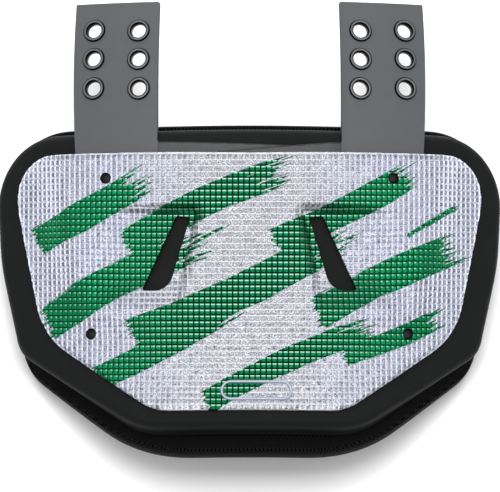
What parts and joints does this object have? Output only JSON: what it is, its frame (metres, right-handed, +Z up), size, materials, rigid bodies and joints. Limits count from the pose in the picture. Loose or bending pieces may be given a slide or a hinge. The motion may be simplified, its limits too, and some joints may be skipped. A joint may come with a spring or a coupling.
{
  "type": "football back plate",
  "caption": "Curved lower-back guard: embossed shell riveted to a foam plate and mesh pad, with two eyelet straps that bolt it under football shoulder pads.",
  "frame": {"origin": "middle of the bounding box on the surface that the plate lies on", "axes": "+X across the back to the wearer's right as seen from behind, +Y along the spine towards the strap tips, +Z up out of the shell"},
  "size_m": [0.2962, 0.2732, 0.0814],
  "materials": {
    "shell": "tile-embossed silver film with a green brushed print",
    "foam": "moulded closed-cell foam",
    "pad": "knitted spacer mesh",
    "strap": "moulded grey polymer, satin",
    "eyelet": "dark lacquered, rolled",
    "rivet": "moulded, glossy"
  },
  "bodies": {
    "root": {"shell": "shell", "front_foam": "foam", "back_pad": "pad", "strap_left": "strap", "strap_right": "strap", "eyelet_left_1": "eyelet", "eyelet_left_2": "eyelet", "eyelet_left_3": "eyelet", "eyelet_left_4": "eyelet", "eyelet_left_5": "eyelet", "eyelet_left_6": "eyelet", "eyelet_right_1": "eyelet", "eyelet_right_2": "eyelet", "eyelet_right_3": "eyelet", "eyelet_right_4": "eyelet", "eyelet_right_5": "eyelet", "eyelet_right_6": "eyelet", "rivet_upper_left": "rivet", "rivet_lower_left": "rivet", "rivet_upper_right": "rivet", "rivet_lower_right": "rivet"}
  },
  "joints": []
}
